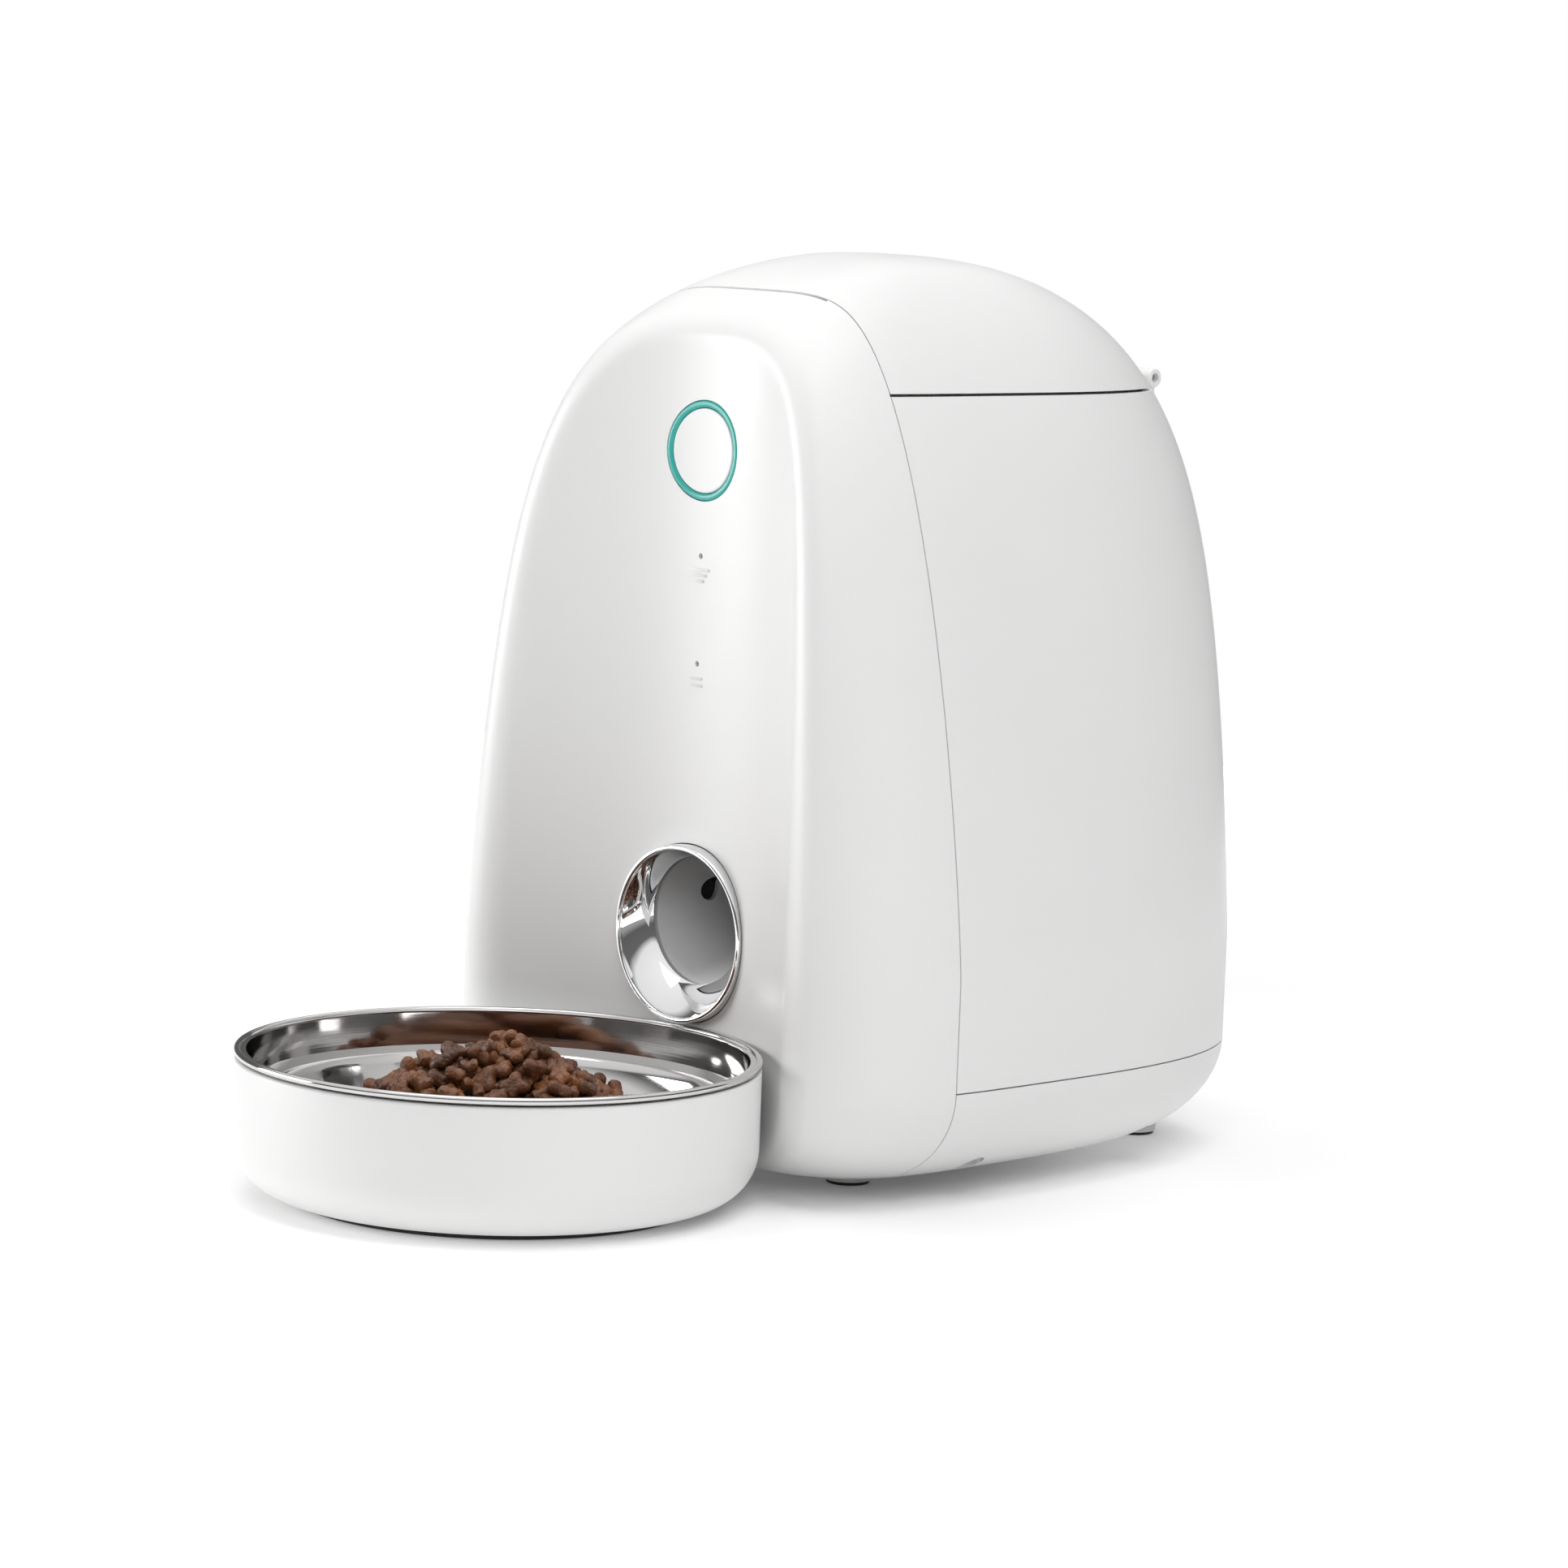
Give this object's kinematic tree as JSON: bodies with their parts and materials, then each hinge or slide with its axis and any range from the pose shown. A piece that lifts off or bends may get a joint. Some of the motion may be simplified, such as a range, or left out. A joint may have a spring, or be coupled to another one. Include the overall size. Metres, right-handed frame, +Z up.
{
  "type": "automatic pet feeder",
  "caption": "Loaf-shaped automatic pet feeder with a hinged lid, a paddle-wheel dispenser, a chute with a bright ring, and a round bowl with a steel liner in its hollow front.",
  "frame": {"origin": "middle of the whole object's footprint on the ground, body and bowl together", "axes": "+Z up; the hollow front and the bowl face -Y; +X is to the right of someone who faces the front"},
  "size_m": [0.2168, 0.383, 0.307],
  "materials": {
    "white_plastic": "satin white moulding",
    "inner_plastic": "matt off-white moulding",
    "chrome": "bright plated",
    "polished_steel": "polished stainless steel",
    "steel": "plain steel",
    "teal_plastic": "teal, translucent look",
    "foot_rubber": "soft grey rubber",
    "seal_rubber": "soft pale silicone",
    "black_plastic": "black moulding",
    "board": "green circuit board",
    "brass": "bare brass",
    "cell_can": "printed cell jacket, plain",
    "gear_plastic": "cream gear moulding"
  },
  "bodies": {
    "housing": {"front_shell": "white_plastic", "rear_housing": "white_plastic", "base": "white_plastic", "hinge_pin": "steel", "hopper": "inner_plastic", "rotor_housing": "inner_plastic", "rotor_cover": "inner_plastic", "gear_cover": "black_plastic", "gear_motor": "steel", "outlet_chute": "inner_plastic", "chute_ring": "chrome", "outlet_emitter": "black_plastic", "outlet_receiver": "black_plastic", "light_ring": "teal_plastic", "main_board": "board", "button_switch": "black_plastic", "microphone": "black_plastic", "level_sensor": "black_plastic", "speaker": "black_plastic", "chassis": "inner_plastic", "power_jack": "black_plastic", "battery_box": "inner_plastic", "battery_cover": "white_plastic", "battery_1": "cell_can", "battery_2": "cell_can", "battery_3": "cell_can", "battery_contact_front": "brass", "battery_contact_rear": "brass", "base_screw_left_front": "steel", "base_screw_right_front": "steel", "base_screw_left_rear": "steel", "base_screw_right_rear": "steel", "foot_left_front": "foot_rubber", "foot_right_front": "foot_rubber", "foot_left_rear": "foot_rubber", "foot_right_rear": "foot_rubber"},
    "lid": {"lid": "white_plastic", "lid_seal": "seal_rubber", "desiccant_box": "inner_plastic"},
    "button": {"button": "white_plastic"},
    "rotor": {"rotor": "teal_plastic", "rotor_shaft": "steel", "drive_gear": "gear_plastic"},
    "pinion": {"motor_pinion": "brass"},
    "bowl": {"bowl_shell": "white_plastic", "bowl_foot_ring": "foot_rubber", "steel_bowl": "polished_steel"}
  },
  "joints": [
    {"name": "lid_hinge", "type": "hinge", "parent": "housing", "child": "lid", "pos_m": [0, 0.173, 0.2655], "axis": [-1, 0, 0], "range_deg": [0, 95]},
    {"name": "button_press", "type": "slide", "parent": "housing", "child": "button", "axis": [0, 1, 0], "range_m": [0, 0.001], "stiffness_N_per_m": 800},
    {"name": "rotor_turn", "type": "hinge", "parent": "housing", "child": "rotor", "pos_m": [0, 0.0427, 0.131], "axis": [1, 0, 0], "continuous": true},
    {"name": "pinion_turn", "type": "hinge", "parent": "housing", "child": "pinion", "pos_m": [0, 0.067, 0.131], "axis": [1, 0, 0], "continuous": true},
    {"name": "bowl_pull", "type": "slide", "parent": "housing", "child": "bowl", "axis": [0, -1, 0], "range_m": [0, 0.12]}
  ],
  "couplings": [
    {"joint": "pinion_turn", "follows": "rotor_turn", "ratio": -3}
  ]
}
